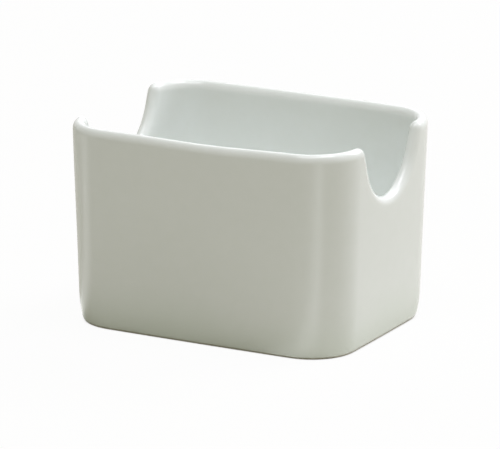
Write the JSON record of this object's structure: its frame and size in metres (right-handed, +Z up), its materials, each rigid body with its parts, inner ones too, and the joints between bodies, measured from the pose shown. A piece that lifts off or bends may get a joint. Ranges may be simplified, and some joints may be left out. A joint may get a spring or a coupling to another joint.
{
  "type": "sugar packet holder",
  "caption": "Open rectangular porcelain holder for sugar packets, with rounded corners, a round rim and a finger notch in each end wall, the left one a little wider.",
  "frame": {"origin": "on the table, under the middle of the holder", "axes": "+X along the holder's length, through both finger notches; +Y across it; +Z up"},
  "size_m": [0.095, 0.0728, 0.062],
  "materials": {
    "porcelain": "fired, unglazed on the foot ring, matt",
    "glaze": "glossy off-white glaze"
  },
  "bodies": {
    "root": {"porcelain_body": "porcelain", "glaze_coat": "glaze", "base_glaze": "glaze"}
  },
  "joints": []
}
